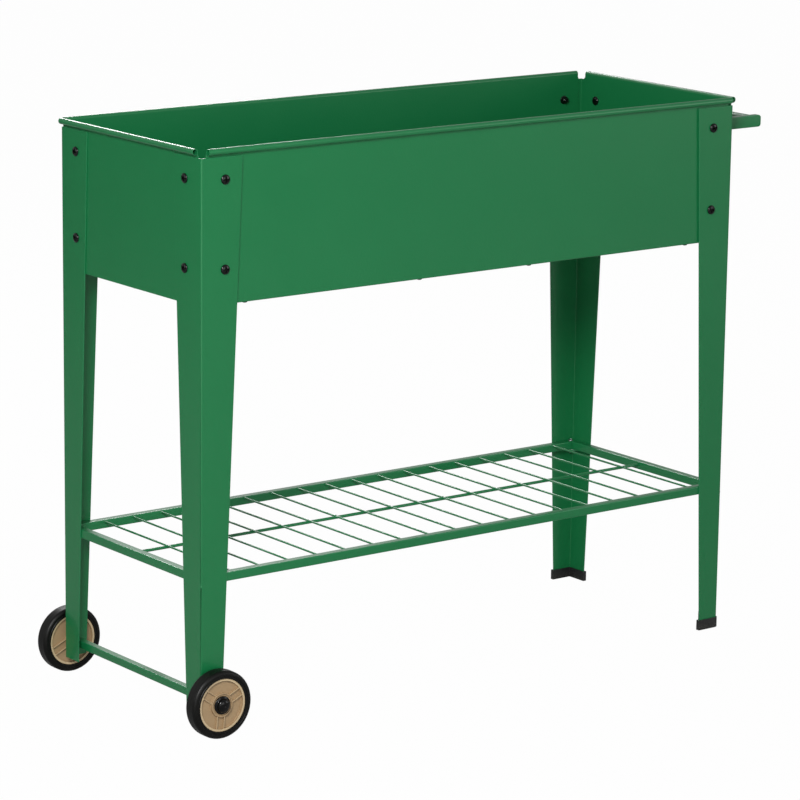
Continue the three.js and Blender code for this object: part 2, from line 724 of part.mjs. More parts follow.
function addWheels() {
  const tyre = tyreGeometry();
  const hub = hubGeometry();
  const cap = capGeometry();
  const washer = washerGeometry();
  [['front', -1], ['rear', 1]].forEach(([side, sign]) => {
    const stub = new THREE.Group();
    stub.position.set(axleX, 0, axleHeight);
    stub.rotation.x = sign < 0 ? Math.PI : 0;
    addPiece(stub, `${side}_tyre`, tyre, 'tyre').position.y = wheelInner;
    addPiece(stub, `${side}_hub`, hub, 'hub').position.y = wheelInner;
    addPiece(stub, `${side}_axle_cap`, cap, 'cap').position.y = wheelInner + capSeat + clearance;
    addPiece(stub, `${side}_washer`, washer, 'zinc').position.y = halfWidth + clearance;
    planter.add(stub);
  });

  const rod = bar('y', 0, 0, axleDiameter, -axleEnd, axleEnd, axleSides);
  addPiece(planter, 'axle_rod', rod, 'zinc').position.set(axleX, 0, axleHeight);
  const tube = squareTube('y', axleTubeSize, axleTubeWall, railCorner, returnFace);
  addPiece(planter, 'axle_tube', tube, 'paint').position.set(axleX, 0, axleHeight);
}

// ---------------------------------------------------------------- assembly

addBox();
addLegs();
addShelf();
addWheels();
addHandle();
addLegBolts();
addHandleScrews();

// The origin is on the floor, under the middle of the whole, from the tyres to the handle's tip.
const wheelEnd = axleX - tyreRadius;
planter.position.x = -(wheelEnd + handleTip) / 2;

export default planter;
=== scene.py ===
"""Looks of the rolling planter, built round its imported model.

Metres. +X runs from the wheels to the handle, -Y is the front, +Z is up, and the floor is z = 0.
"""

import json
import math

import bmesh
import bpy
from mathutils import Matrix, Vector

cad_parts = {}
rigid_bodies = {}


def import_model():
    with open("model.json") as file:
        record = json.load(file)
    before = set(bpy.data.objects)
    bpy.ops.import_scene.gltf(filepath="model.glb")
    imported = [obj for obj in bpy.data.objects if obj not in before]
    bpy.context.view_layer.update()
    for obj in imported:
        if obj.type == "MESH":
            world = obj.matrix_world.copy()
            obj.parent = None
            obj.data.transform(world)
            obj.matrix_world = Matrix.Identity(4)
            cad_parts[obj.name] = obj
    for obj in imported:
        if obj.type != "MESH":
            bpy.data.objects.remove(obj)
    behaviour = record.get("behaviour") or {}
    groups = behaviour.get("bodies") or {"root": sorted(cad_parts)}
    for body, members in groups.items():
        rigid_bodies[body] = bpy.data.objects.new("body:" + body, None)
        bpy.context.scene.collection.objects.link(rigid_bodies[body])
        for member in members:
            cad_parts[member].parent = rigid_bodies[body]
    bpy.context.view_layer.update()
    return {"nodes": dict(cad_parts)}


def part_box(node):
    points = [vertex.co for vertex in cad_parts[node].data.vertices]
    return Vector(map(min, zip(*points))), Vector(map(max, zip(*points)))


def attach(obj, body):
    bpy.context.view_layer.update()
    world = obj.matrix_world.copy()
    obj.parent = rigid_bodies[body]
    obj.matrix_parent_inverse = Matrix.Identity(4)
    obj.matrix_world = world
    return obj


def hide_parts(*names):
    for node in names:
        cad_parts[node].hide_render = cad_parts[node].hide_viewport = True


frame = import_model()

MM = 0.001
MERGE_DISTANCE = 0.001 * MM

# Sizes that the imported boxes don't give
GRIP_WALL = 1.5 * MM
WIRE_DIAMETER = 3 * MM
ROD_DIAMETER = 4.5 * MM
WIRE_PITCH = 48.5 * MM
WIRE_SHIFT = 3 * MM
WIRE_BOW = 2.4 * MM               # widest stray of a wire's middle, from side to side
BOW_STEP = 0.71                   # how far apart neighbouring wires look up their stray in the noise
BOLT_HEAD = 13.5 * MM
BOLT_HEAD_HEIGHT = 3.4 * MM
BOLT_THREAD = 6 * MM
BOLT_PITCH = 1 * MM
NUT_ACROSS = 10 * MM
NUT_HEIGHT = 5 * MM
NUT_FLANGE = 13 * MM
NUT_FLANGE_HEIGHT = 1.4 * MM
SMALL_HEAD = 8 * MM
SMALL_HEAD_HEIGHT = 2.6 * MM
SMALL_THREAD = 4 * MM
SMALL_PITCH = 0.7 * MM
SMALL_THREAD_SHOW = 1.5 * MM
SMALL_NUT_ACROSS = 7 * MM
SMALL_NUT_HEIGHT = 3.2 * MM
SMALL_NUT_FLANGE = 8.6 * MM
SMALL_NUT_FLANGE_HEIGHT = 0.9 * MM
FLOOR_SCREW_MID = 97 * MM         # off the middle of the box
FLOOR_SCREW_END = 390 * MM
FLOOR_SCREW_ROW = 161.9 * MM
FLOOR_SCREW_COLUMN = 457.5 * MM
SHELF_SCREW_REACH = 455.5 * MM
GUSSET_DROP = 2.3 * MM            # underside of a leg's gusset below the rail on it
CURL_HEIGHT = 9 * MM              # the part of a panel's top edge that is rolled
CURL_REACH = 5.7 * MM             # a long panel's roll runs this much further at one end
TYRE_DEPTH = 10.4 * MM
TYRE_SHOULDER = 5 * MM

# Rounding of the edges
LEG_EDGE = 0.3 * MM
ARM_EDGE = 0.4 * MM
PANEL_EDGE = 0.2 * MM
RAIL_EDGE = 0.3 * MM
AXLE_TUBE_EDGE = 0.5 * MM
SHOE_EDGE = 0.6 * MM
GRIP_EDGE = 0.4 * MM
WASHER_EDGE = 0.4 * MM
RIB_EDGE = 0.35 * MM

# Inside the hub and cap, in millimetres
HUB_WIDTH = 19
HUB_RIM_WALL = 3.2
WEB_RECESS = 3.6
BOSS_RADIUS = 17
BOSS_WALL = 2
BOSS_RECESS = 1.6
SLEEVE_RADIUS = 10
RIB_THICKNESS = 1.5
RIB_SPACING = 11.5
RIB_SINK = 0.5                    # rib's foot into the web, and its top below the rim's edge
SPOKES = 3
SPOKE_TURN = 5                    # degrees that the spokes stand turned from a square start
HUB_EDGE = 0.45
AXLE_BORE = 8.6
CAP_NOSE = 9.5
CAP_NOSE_START = 4.6              # height at which the nose begins to round over


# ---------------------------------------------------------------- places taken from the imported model

def low(node):
    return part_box(node)[0]


def high(node):
    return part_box(node)[1]


def middle(node):
    return (low(node) + high(node)) / 2


def size(node):
    return high(node) - low(node)


SPAN_MIDDLE = (low("front_wheel_leg").x + high("front_handle_leg").x) / 2


# ---------------------------------------------------------------- node trees

def node(tree, kind, inputs=None, **settings):
    """Adds a node. Settings go by name; inputs go by name or number, each a value or a socket to link."""
    made = tree.nodes.new(kind)
    for key, value in settings.items():
        setattr(made, key, value)
    for key, value in (inputs or {}).items():
        if isinstance(value, bpy.types.NodeSocket):
            tree.links.new(value, made.inputs[key])
        else:
            made.inputs[key].default_value = value
    return made


def maths(tree, operation, *values):
    """The result of a Math node."""
    return node(tree, "ShaderNodeMath", dict(enumerate(values)), operation=operation).outputs[0]


def group(name, kind, inputs, outputs):
    """An empty node group with named sockets; returns it, its given values and its results."""
    tree = bpy.data.node_groups.new(name, kind)
    for label, socket, value in inputs:
        item = tree.interface.new_socket(label, in_out="INPUT", socket_type=socket)
        if value is not None:
            item.default_value = value
    for label, socket in outputs:
        tree.interface.new_socket(label, in_out="OUTPUT", socket_type=socket)
    given = tree.nodes.new("NodeGroupInput").outputs
    results = tree.nodes.new("NodeGroupOutput").inputs
    return tree, given, results


def placed(tree, effect, inputs):
    """A shader node group put into a material's tree with its own values."""
    return node(tree, "ShaderNodeGroup", inputs, node_tree=effect).outputs


def surface_place(tree):
    """The place of a point on the surface, in the object's own metres."""
    return node(tree, "ShaderNodeTexCoord").outputs["Object"]


# ---------------------------------------------------------------- surface effects

def colour_drift():
    """A colour that drifts slightly lighter and darker over the surface, at two sizes."""
    tree, given, results = group(
        "colour drift",
        "ShaderNodeTree",
        [
            ("Colour", "NodeSocketColor", (0.5, 0.5, 0.5, 1)),
            ("Amount", "NodeSocketFloat", 0.06),
            ("Patch Size", "NodeSocketFloat", 0.1),
            ("Fleck Size", "NodeSocketFloat", 0.004),
        ],
        [("Colour", "NodeSocketColor")],
    )
    place = surface_place(tree)
    total = None
    for label, share in (("Patch Size", 0.65), ("Fleck Size", 0.35)):
        scale = maths(tree, "DIVIDE", 1.0, given[label])
        noise = node(tree, "ShaderNodeTexNoise", {"Vector": place, "Scale": scale, "Detail": 3.0})
        centred = maths(tree, "SUBTRACT", noise.outputs["Fac"], 0.5)
        part = maths(tree, "MULTIPLY", centred, share)
        total = part if total is None else maths(tree, "ADD", total, part)
    swing = maths(tree, "MULTIPLY_ADD", total, given["Amount"], 1.0)
    shaded = node(tree, "ShaderNodeHueSaturation", {"Value": swing, "Color": given["Colour"]})
    tree.links.new(shaded.outputs[0], results["Colour"])
    return tree


def orange_peel():
    """Height of the soft dimples that a baked powder coat or a moulded skin has."""
    tree, given, results = group(
        "orange peel",
        "ShaderNodeTree",
        [("Dimple Size", "NodeSocketFloat", 0.0016), ("Fineness", "NodeSocketFloat", 0.25)],
        [("Height", "NodeSocketFloat")],
    )
    place = surface_place(tree)
    scale = maths(tree, "DIVIDE", 1.0, given["Dimple Size"])
    dimples = node(
        tree,
        "ShaderNodeTexVoronoi",
        {"Vector": place, "Scale": scale, "Smoothness": 1.0},
        feature="SMOOTH_F1",
    )
    grain = node(tree, "ShaderNodeTexNoise", {"Vector": place, "Scale": scale, "Detail": 4.0})
    height = maths(
        tree, "MULTIPLY_ADD", grain.outputs["Fac"], given["Fineness"], dimples.outputs["Distance"]
    )
    tree.links.new(height, results["Height"])
    return tree


def handled_gloss():
    """Roughness that wanders where a surface has been wiped and handled."""
    tree, given, results = group(
        "handled gloss",
        "ShaderNodeTree",
        [
            ("Roughness", "NodeSocketFloat", 0.4),
            ("Swing", "NodeSocketFloat", 0.08),
            ("Patch Size", "NodeSocketFloat", 0.05),
        ],
        [("Roughness", "NodeSocketFloat")],
    )
    place = surface_place(tree)
    scale = maths(tree, "DIVIDE", 1.0, given["Patch Size"])
    noise = node(
        tree, "ShaderNodeTexNoise", {"Vector": place, "Scale": scale, "Detail": 5.0, "Distortion": 0.6}
    )
    centred = maths(tree, "SUBTRACT", noise.outputs["Fac"], 0.5)
    rough = maths(tree, "MULTIPLY_ADD", centred, given["Swing"], given["Roughness"])
    tree.links.new(rough, results["Roughness"])
    return tree


def floor_dust():
    """A mask of the fine dust that the lowest few centimetres pick up, broken into specks."""
    tree, given, results = group(
        "floor dust",
        "ShaderNodeTree",
        [
            ("Top", "NodeSocketFloat", 0.05),
            ("Amount", "NodeSocketFloat", 0.2),
            ("Specks per Metre", "NodeSocketFloat", 420.0),
        ],
        [("Mask", "NodeSocketFloat")],
    )
    place = surface_place(tree)
    height = node(tree, "ShaderNodeSeparateXYZ", {0: place}).outputs["Z"]
    fade = node(
        tree,
        "ShaderNodeMapRange",
        {"Value": height, "From Min": 0.0, "From Max": given["Top"], "To Min": 1.0, "To Max": 0.0},
    )
    specks = node(
        tree, "ShaderNodeTexNoise", {"Vector": place, "Scale": given["Specks per Metre"], "Detail": 6.0}
    )
    patches = node(
        tree, "ShaderNodeMapRange", {"Value": specks.outputs["Fac"], "From Min": 0.45, "From Max": 0.75}
    )
    both = maths(tree, "MULTIPLY", fade.outputs[0], patches.outputs[0])
    tree.links.new(maths(tree, "MULTIPLY", both, given["Amount"]), results["Mask"])
    return tree


drift = colour_drift()
peel = orange_peel()
gloss = handled_gloss()
dust = floor_dust()


# ---------------------------------------------------------------- materials

def srgb(red, green, blue):
    """A colour written as 0 to 255 display values, as the shaders take it."""

    def linear(value):
        part = value / 255
        return part / 12.92 if part <= 0.04045 else ((part + 0.055) / 1.055) ** 2.4

    return (linear(red), linear(green), linear(blue), 1)


DUST_COLOUR = srgb(168, 160, 146)
DUST_ROUGHNESS = 0.4


def finish(name, colour, roughness, **extra):
    """A material on the Principled shader with drifting colour, wandering gloss and a fine bumpy skin.

    extra: amount and patch of the drift, swing of the gloss, dimple and depth of the skin, dust and
    its height, and any constant shader socket by its name.
    """
    given = {
        "amount": 0.06, "patch": 0.12, "fleck": 0.004, "swing": 0.08, "dimple": 0.0016,
        "fineness": 0.25, "depth": 0.00006, "dusty": 0.0, "dust_top": 0.05,
    }
    given.update({key: extra.pop(key) for key in list(extra) if key in given})
    material = bpy.data.materials.new(name)
    material.use_nodes = True
    tree = material.node_tree
    tree.nodes.clear()
    base = placed(
        tree,
        drift,
        {
            "Colour": colour,
            "Amount": given["amount"],
            "Patch Size": given["patch"],
            "Fleck Size": given["fleck"],
        },
    )["Colour"]
    rough = placed(
        tree, gloss, {"Roughness": roughness, "Swing": given["swing"], "Patch Size": given["patch"] / 2}
    )["Roughness"]
    if given["dusty"] > 0:
        mask = placed(tree, dust, {"Top": given["dust_top"], "Amount": given["dusty"]})["Mask"]
        base = node(
            tree,
            "ShaderNodeMix",
            {0: mask, 6: base, 7: DUST_COLOUR},
            data_type="RGBA",
        ).outputs[2]
        rough = maths(tree, "MULTIPLY_ADD", mask, DUST_ROUGHNESS, rough)
    skin = placed(tree, peel, {"Dimple Size": given["dimple"], "Fineness": given["fineness"]})["Height"]
    bump = node(tree, "ShaderNodeBump", {"Height": skin, "Distance": given["depth"], "Strength": 1.0})
    shader = node(
        tree,
        "ShaderNodeBsdfPrincipled",
        {"Base Color": base, "Roughness": rough, "Normal": bump.outputs[0]},
    )
    for socket, value in extra.items():
        shader.inputs[socket.replace("_", " ")].default_value = value
    end = tree.nodes.new("ShaderNodeOutputMaterial")
    tree.links.new(shader.outputs[0], end.inputs["Surface"])
    return material


GREEN = srgb(19, 114, 64)

green_coat = finish(
    "green powder coat", GREEN, 0.36, amount=0.10, patch=0.16, swing=0.10,
    dimple=0.0022, depth=0.00008, IOR=1.45, Coat_Weight=0.30, Coat_Roughness=0.09,
)
# A lighter, smoother copy of the coat for the rounded edge strips: a painted highlight on the edges.
green_coat_edge_highlight = finish(
    "green powder coat on edges", srgb(34, 126, 80), 0.30, amount=0.16, patch=0.02, swing=0.14,
    dimple=0.0022, depth=0.00005, IOR=1.45, Coat_Weight=0.30, Coat_Roughness=0.09,
)
black_coat = finish(
    "black zinc plating", srgb(8, 9, 8), 0.05, amount=0.30, patch=0.01, fleck=0.0012, swing=0.08,
    dimple=0.0007, depth=0.00001, Specular_IOR_Level=0.32,
)
bright_zinc = finish(
    "bright zinc plating", srgb(176, 178, 180), 0.30, amount=0.14, patch=0.008, fleck=0.001,
    swing=0.18, dimple=0.0006, depth=0.00002, Metallic=1.0,
)
tyre_rubber = finish(
    "tyre rubber", srgb(7, 7, 6), 0.40, amount=0.25, patch=0.03, fleck=0.002, swing=0.16,
    dimple=0.0009, fineness=0.6, depth=0.00005, dusty=0.04, dust_top=0.02,
    Specular_IOR_Level=0.22,
)
hub_moulding = finish(
    "tan hub moulding", srgb(164, 138, 104), 0.42, amount=0.10, patch=0.03, fleck=0.0015, swing=0.12,
    dimple=0.0010, depth=0.00004,
)
# A lighter copy of the hub moulding for the rim and the ribs' rounded edges: a painted highlight.
hub_rim_highlight = finish(
    "tan hub moulding on rim and edges", srgb(200, 178, 142), 0.36, amount=0.12, patch=0.02,
    fleck=0.0015, swing=0.12, dimple=0.0010, depth=0.00003,
)
cap_gloss = finish(
    "gloss black cap moulding", srgb(8, 8, 8), 0.05, amount=0.10, patch=0.02, swing=0.04,
    dimple=0.0040, depth=0.000005, Specular_IOR_Level=0.25,
)
shoe_moulding = finish(
    "black shoe moulding", srgb(22, 22, 23), 0.52, amount=0.20, patch=0.02, fleck=0.0015, swing=0.14,
    dimple=0.0008, fineness=0.5, depth=0.00007, dusty=0.16, dust_top=0.012,
)


# ---------------------------------------------------------------- meshes

def piece(name, mesh, materials, body, replaced=()):
    """Puts a finished mesh in the scene, on its body, in the place of the nodes it stands for."""
    made = bpy.data.objects.new(name, mesh)
    bpy.context.scene.collection.objects.link(made)
    while len(mesh.materials) > len(materials):
        mesh.materials.pop()
    while len(mesh.materials) < len(materials):
        mesh.materials.append(None)
    for index, material in enumerate(materials):
        mesh.materials[index] = material
    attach(made, body)
    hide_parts(*replaced)
    return made


def body_of(node_name):
    """The body that carries a CAD node."""
    return frame["nodes"][node_name].parent.name.removeprefix("body:")


def smoothed(mesh, angle=38):
    """Smooth shading, with the edges sharper than an angle in degrees kept crisp."""
    mesh.shade_smooth()
    mesh.set_sharp_from_angle(angle=math.radians(angle))
    return mesh


def carrier(mesh):
    """A passing object that carries a mesh through a modifier."""
    made = bpy.data.objects.new(mesh.name, mesh)
    bpy.context.scene.collection.objects.link(made)
    return made


def evaluated(made):
    """A plain mesh of an object with its modifiers done; the object is removed."""
    bpy.context.view_layer.update()
    graph = bpy.context.evaluated_depsgraph_get()
    mesh = bpy.data.meshes.new_from_object(made.evaluated_get(graph))
    bpy.data.objects.remove(made)
    return mesh


def evened(mesh, angle=38):
    """Smooth shading whose flat faces stay flat up to their rounded edges."""
    made = carrier(smoothed(mesh, angle))
    even = made.modifiers.new("even shading", "WEIGHTED_NORMAL")
    even.mode = "FACE_AREA"
    even.keep_sharp = True
    return evaluated(made)


def bevelled(mesh, width, sharp=32, steps=2):
    """The mesh with its sharp edges rounded over; the rounded strips take the second material."""
    while len(mesh.materials) < 2:
        mesh.materials.append(None)
    made = carrier(mesh)
    rounding = made.modifiers.new("rounding", "BEVEL")
    rounding.width = width
    rounding.segments = steps
    rounding.limit_method = "ANGLE"
    rounding.angle_limit = math.radians(sharp)
    rounding.use_clamp_overlap = False
    rounding.miter_outer = "MITER_ARC"
    # For the coat and the hub, this second material is a lighter copy, a painted highlight on the strips.
    rounding.material = 1
    return evened(evaluated(made))


def merged_copy(node_name):
    """The CAD node's mesh with shared corners and as few triangles as its flat faces need."""
    shape = bmesh.new()
    shape.from_mesh(frame["nodes"][node_name].data)
    bmesh.ops.remove_doubles(shape, verts=shape.verts, dist=MERGE_DISTANCE)
    bmesh.ops.dissolve_limit(
        shape, angle_limit=math.radians(0.5), verts=shape.verts, edges=shape.edges
    )
    many_sided = [face for face in shape.faces if len(face.verts) > 4]
    bmesh.ops.triangulate(shape, faces=many_sided, ngon_method="BEAUTY")
    mesh = bpy.data.meshes.new(node_name + " copy")
    shape.to_mesh(mesh)
    shape.free()
    mesh.materials.clear()
    return mesh


def lengthened_curl(mesh, end):
    """A long panel whose rolled edge runs on to the corner at one end: 1 the handle's, -1 the wheels'."""
    foot = max(corner.co.z for corner in mesh.vertices) - CURL_HEIGHT
    rolled = [corner for corner in mesh.vertices if corner.co.z > foot]
    last = max(end * corner.co.x for corner in rolled)
    for corner in rolled:
        if end * corner.co.x > last - MERGE_DISTANCE:
            corner.co.x += end * CURL_REACH
    return mesh


def dress(node_name, name, width, finishes, curl_end=0):
    """Shows a copy with rounded edges in a CAD node's place."""
    mesh = merged_copy(node_name)
    if curl_end:
        mesh = lengthened_curl(mesh, curl_end)
    return piece(name, bevelled(mesh, width), finishes, body_of(node_name), [node_name])


def filleted(corners, radius, steps=3):
    """A closed outline with each corner turned into a short curve."""
    outline = []
    for index, corner in enumerate(corners):
        here = Vector(corner)
        before = Vector(corners[index - 1]) - here
        after = Vector(corners[(index + 1) % len(corners)]) - here
        a = here + before.normalized() * min(radius, 0.45 * before.length)
        b = here + after.normalized() * min(radius, 0.45 * after.length)
        for step in range(steps + 1):
            t = step / steps
            outline.append(a * (1 - t) ** 2 + here * (2 * t * (1 - t)) + b * t ** 2)
    return outline


def revolved(name, outline, centre, axis, segments=96, closed=True):
    """An outline of (radius, distance) points turned about an axis through a place."""
    shape = bmesh.new()
    spin = Vector(axis).to_track_quat("Z", "Y").to_matrix()
    rings = []
    for index in range(segments):
        turn = 2 * math.pi * index / segments
        ring = [
            shape.verts.new(Vector(centre) + spin @ Vector((r * math.cos(turn), r * math.sin(turn), d)))
            for r, d in outline
        ]
        rings.append(ring)
    count = len(outline) if closed else len(outline) - 1
    for index, ring in enumerate(rings):
        following = rings[(index + 1) % segments]
        for step in range(count):
            other = (step + 1) % len(outline)
            shape.faces.new((ring[step], ring[other], following[other], following[step]))
    bmesh.ops.remove_doubles(shape, verts=shape.verts, dist=MERGE_DISTANCE)
    bmesh.ops.dissolve_degenerate(shape, edges=shape.edges, dist=MERGE_DISTANCE)
    bmesh.ops.recalc_face_normals(shape, faces=shape.faces)
    mesh = bpy.data.meshes.new(name)
    shape.to_mesh(mesh)
    shape.free()
    return mesh


def millimetres(points):
    return [(a * MM, b * MM) for a, b in points]


def joined(name, meshes):
    """One mesh of several."""
    shape = bmesh.new()
    for mesh in meshes:
        shape.from_mesh(mesh)
    result = bpy.data.meshes.new(name)
    shape.to_mesh(result)
    shape.free()
    return result


def block(name, first, last, turn=None, centre=(0, 0, 0)):
    """A box between two corners, turned and then moved."""
    shape = bmesh.new()
    bmesh.ops.create_cube(shape, size=1)
    span = Vector(last) - Vector(first)
    place = Matrix.Translation((Vector(first) + Vector(last)) / 2) @ Matrix.Diagonal((*span, 1))
    if turn is not None:
        place = turn.to_4x4() @ place
    bmesh.ops.transform(shape, matrix=Matrix.Translation(centre) @ place, verts=shape.verts)
    mesh = bpy.data.meshes.new(name)
    shape.to_mesh(mesh)
    shape.free()
    return mesh


def cut(mesh, cutter, operation="DIFFERENCE"):
    """One mesh with another taken out of it, added to it, or kept only where both are."""
    made = carrier(mesh)
    tool = carrier(cutter)
    step = made.modifiers.new("cut", "BOOLEAN")
    step.operation = operation
    step.solver = "EXACT"
    step.object = tool
    result = evaluated(made)
    bpy.data.objects.remove(tool)
    return result


def grown(name, tree, start, **inputs):
    """The plain mesh that a geometry tree grows from a starting mesh, its inputs given by name."""
    made = carrier(start)
    growth = made.modifiers.new(name, "NODES")
    growth.node_group = tree
    for item in tree.interface.items_tree:
        key = item.name.replace(" ", "_").lower()
        if item.in_out == "INPUT" and key in inputs:
            growth[item.identifier] = inputs[key]
    result = evaluated(made)
    result.name = name
    return result


# ---------------------------------------------------------------- painted steelwork

def dress_coated(node_name, edge, curl_end=0):
    """Shows a powder coated piece, with a painted highlight: its rounded edges take a lighter copy of the
    coat.
    """
    coat = [green_coat, green_coat_edge_highlight]
    dress(node_name, f"{node_name}_coated", edge, coat, curl_end)


def dress_steelwork():
    for side in ("front", "rear"):
        for end in ("wheel", "handle"):
            dress_coated(f"{side}_{end}_leg", LEG_EDGE)
        dress_coated(f"{side}_handle_arm", ARM_EDGE)
    for panel in ("wheel_end_panel", "handle_end_panel", "floor_panel"):
        dress_coated(panel, PANEL_EDGE)
    dress_coated("front_panel", PANEL_EDGE, curl_end=1)
    dress_coated("rear_panel", PANEL_EDGE, curl_end=-1)
    for rail in ("front", "rear", "wheel_end", "handle_end"):
        dress_coated(f"shelf_{rail}_rail", RAIL_EDGE)
    dress_coated("axle_tube", AXLE_TUBE_EDGE)


def dress_shoes():
    for side in ("front", "rear"):
        shoe = f"{side}_shoe"
        dress(shoe, f"{shoe}_moulded", SHOE_EDGE, [shoe_moulding, shoe_moulding])


def add_grip():
    """Round grip between the handle's arms, with eased mouths."""
    span = size("handle_grip")
    end = span.y / 2
    outer = span.z / 2
    inner = outer - GRIP_WALL
    outline = filleted([(inner, -end), (outer, -end), (outer, end), (inner, end)], GRIP_EDGE)
    mesh = revolved("handle grip", outline, middle("handle_grip"), (0, 1, 0), 64)
    piece("handle_grip_coated", evened(mesh), [green_coat], "chassis", ["handle_grip"])


# ---------------------------------------------------------------- shelf wires

def tube(tree, path, radius, sides):
    """A closed round tube along a path, in a geometry tree."""
    ring = node(tree, "GeometryNodeCurvePrimitiveCircle", {"Resolution": sides, "Radius": radius})
    return node(
        tree,
        "GeometryNodeCurveToMesh",
        {"Curve": path, "Profile Curve": ring.outputs[0], "Fill Caps": True},
    ).outputs[0]


def bowed_wires(tree, given, row, back):
    """Cross wires on a row of points, each bowed a little by its own chance amount."""
    ends = [
        node(tree, "ShaderNodeCombineXYZ", {1: reach}).outputs[0] for reach in (back, given["Half Span"])
    ]
    line = node(tree, "GeometryNodeCurvePrimitiveLine", {"Start": ends[0], "End": ends[1]}).outputs[0]
    fine = node(tree, "GeometryNodeResampleCurve", {"Curve": line, "Count": 25}).outputs[0]
    wire = tube(tree, fine, given["Wire Radius"], 14)
    wires = node(tree, "GeometryNodeInstanceOnPoints", {"Points": row, "Instance": wire}).outputs[0]
    wires = node(tree, "GeometryNodeRealizeInstances", {"Geometry": wires}).outputs[0]

    place = node(tree, "GeometryNodeInputPosition").outputs[0]
    apart = node(tree, "ShaderNodeSeparateXYZ", {0: place}).outputs
    share = maths(tree, "DIVIDE", apart["Y"], given["Half Span"])
    belly = maths(tree, "SUBTRACT", 1.0, maths(tree, "MULTIPLY", share, share))
    step = maths(tree, "DIVIDE", apart["X"], given["Pitch"])
    lookup = node(tree, "ShaderNodeCombineXYZ", {0: step}).outputs[0]
    noise = node(tree, "ShaderNodeTexNoise", {"Vector": lookup, "Scale": BOW_STEP, "Detail": 0.0})
    centred = node(
        tree,
        "ShaderNodeVectorMath",
        {0: noise.outputs["Color"], 1: (0.5, 0.5, 0.5)},
        operation="SUBTRACT",
    )
    amount = maths(tree, "MULTIPLY", belly, given["Bow"])
    bend = node(
        tree, "ShaderNodeVectorMath", {0: centred.outputs[0], "Scale": amount}, operation="SCALE"
    ).outputs[0]
    return node(tree, "GeometryNodeSetPosition", {"Geometry": wires, "Offset": bend}).outputs[0]


def weld_beads(tree, given, row, back):
    """Weld beads of uneven size at both ends of each wire and where it lies on the rod."""
    bead = node(
        tree, "GeometryNodeMeshUVSphere", {"Segments": 14, "Rings": 8, "Radius": given["Bead Radius"]}
    ).outputs[0]
    beads = []
    for reach in (back, 0.0, given["Half Span"]):
        shift = node(tree, "ShaderNodeCombineXYZ", {1: reach}).outputs[0]
        moved = node(tree, "GeometryNodeSetPosition", {"Geometry": row, "Offset": shift}).outputs[0]
        sizes = node(
            tree,
            "FunctionNodeRandomValue",
            {"Min": (1.0, 0.45, 0.7), "Max": (1.35, 0.8, 0.95), "Seed": 7},
            data_type="FLOAT_VECTOR",
        ).outputs[0]
        beads.append(
            node(
                tree,
                "GeometryNodeInstanceOnPoints",
                {"Points": moved, "Instance": bead, "Scale": sizes},
            ).outputs[0]
        )
    return beads


def wire_tree():
    """Cross wires on a rod, each bowed a little, with a weld bead where they meet and at their ends."""
    tree, given, results = group(
        "shelf wires",
        "GeometryNodeTree",
        [
            ("Geometry", "NodeSocketGeometry", None),
            ("Count", "NodeSocketInt", 18),
            ("Pitch", "NodeSocketFloat", 0.05),
            ("First", "NodeSocketVector", None),
            ("Half Span", "NodeSocketFloat", 0.15),
            ("Wire Radius", "NodeSocketFloat", 0.0015),
            ("Rod Start", "NodeSocketVector", None),
            ("Rod End", "NodeSocketVector", None),
            ("Rod Radius", "NodeSocketFloat", 0.002),
            ("Bow", "NodeSocketFloat", 0.0006),
            ("Bead Radius", "NodeSocketFloat", 0.002),
            ("Material", "NodeSocketMaterial", None),
        ],
        [("Geometry", "NodeSocketGeometry")],
    )
    pitch = node(tree, "ShaderNodeCombineXYZ", {0: given["Pitch"]}).outputs[0]
    row = node(
        tree,
        "GeometryNodeMeshLine",
        {"Count": given["Count"], "Start Location": given["First"], "Offset": pitch},
    ).outputs[0]
    back = maths(tree, "MULTIPLY", given["Half Span"], -1.0)
    wires = bowed_wires(tree, given, row, back)
    rod_line = node(
        tree, "GeometryNodeCurvePrimitiveLine", {"Start": given["Rod Start"], "End": given["Rod End"]}
    ).outputs[0]
    rod = tube(tree, rod_line, given["Rod Radius"], 18)
    together = node(tree, "GeometryNodeJoinGeometry")
    for part in [wires, rod, *weld_beads(tree, given, row, back)]:
        tree.links.new(part, together.inputs[0])
    smooth = node(tree, "GeometryNodeSetShadeSmooth", {"Geometry": together.outputs[0]}).outputs[0]
    real = node(tree, "GeometryNodeRealizeInstances", {"Geometry": smooth}).outputs[0]
    coated = node(tree, "GeometryNodeSetMaterial", {"Geometry": real, "Material": given["Material"]})
    tree.links.new(coated.outputs[0], results["Geometry"])
    return tree


def add_wires():
    """The shelf's wires and rod, from the box of the CAD grid and the rails' inner faces."""
    rail = size("shelf_front_rail").z
    span = high("shelf_handle_end_rail").x - low("shelf_wheel_end_rail").x - 2 * rail
    count = math.floor(span / WIRE_PITCH)
    first = middle("shelf_front_rail").x + WIRE_SHIFT - (count - 1) / 2 * WIRE_PITCH
    wire_radius = WIRE_DIAMETER / 2
    rod_radius = ROD_DIAMETER / 2
    wire_height = high("shelf_wire_grid").z - wire_radius
    rod_height = low("shelf_wire_grid").z + rod_radius
    mesh = grown(
        "shelf_wires_coated",
        wire_tree(),
        bpy.data.meshes.new("start"),
        count=count,
        pitch=WIRE_PITCH,
        first=(first, 0.0, wire_height),
        half_span=size("shelf_wire_grid").y / 2,
        wire_radius=wire_radius,
        rod_start=(low("shelf_wire_grid").x, 0.0, rod_height),
        rod_end=(high("shelf_wire_grid").x, 0.0, rod_height),
        rod_radius=rod_radius,
        bow=WIRE_BOW,
        bead_radius=1.35 * wire_radius,
        material=green_coat,
    )
    piece("shelf_wires_coated", mesh, [green_coat], "chassis", ["shelf_wire_grid"])


# ---------------------------------------------------------------- bolts, screws and nuts

def lathed(name, outline, segments):
    """An outline of (radius, height) points turned about +Z, from the axis back to the axis."""
    return revolved(name, outline, (0, 0, 0), (0, 0, 1), segments, closed=False)


